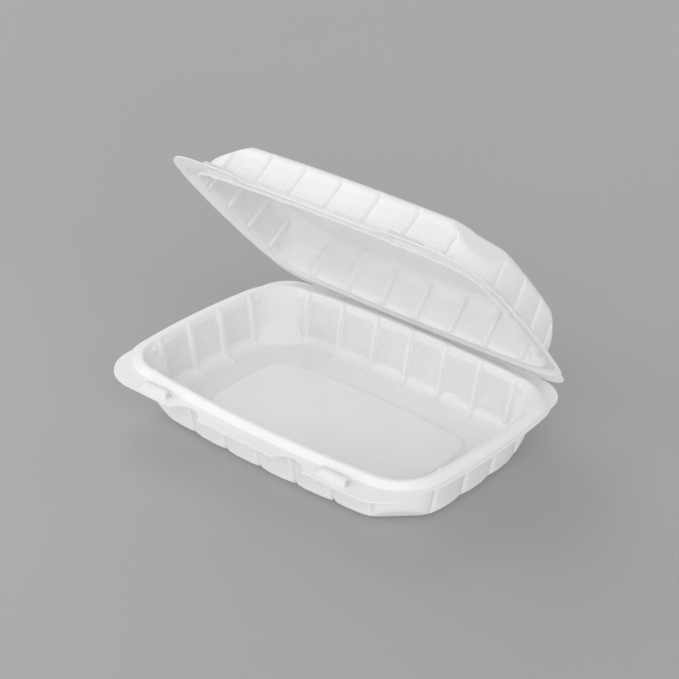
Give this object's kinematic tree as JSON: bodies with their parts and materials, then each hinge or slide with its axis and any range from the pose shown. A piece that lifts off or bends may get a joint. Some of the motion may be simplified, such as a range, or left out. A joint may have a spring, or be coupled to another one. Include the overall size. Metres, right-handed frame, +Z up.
{
  "type": "clamshell takeout container",
  "caption": "White hinged clamshell takeout container with ribbed walls, a raised bead rim, finger notches, hollow lock bars and a lid standing half open.",
  "frame": {"origin": "on the standing surface, under the middle of the tray's rim opening", "axes": "+X along the fold and the long side, +Y from the front edge to the fold, +Z up"},
  "size_m": [0.227, 0.1716, 0.1518],
  "materials": {
    "white_sheet": "thermoformed mineral-filled polypropylene sheet, satin, with a fine dot emboss on the wall panels"
  },
  "bodies": {
    "tray": {"tray": "white_sheet"},
    "lid": {"lid": "white_sheet"}
  },
  "joints": [
    {"name": "lid_fold", "type": "hinge", "parent": "tray", "child": "lid", "pos_m": [0, 0.0786, 0.03065], "axis": [-1, 0, 0], "range_deg": [-47.4, 132.6]}
  ]
}
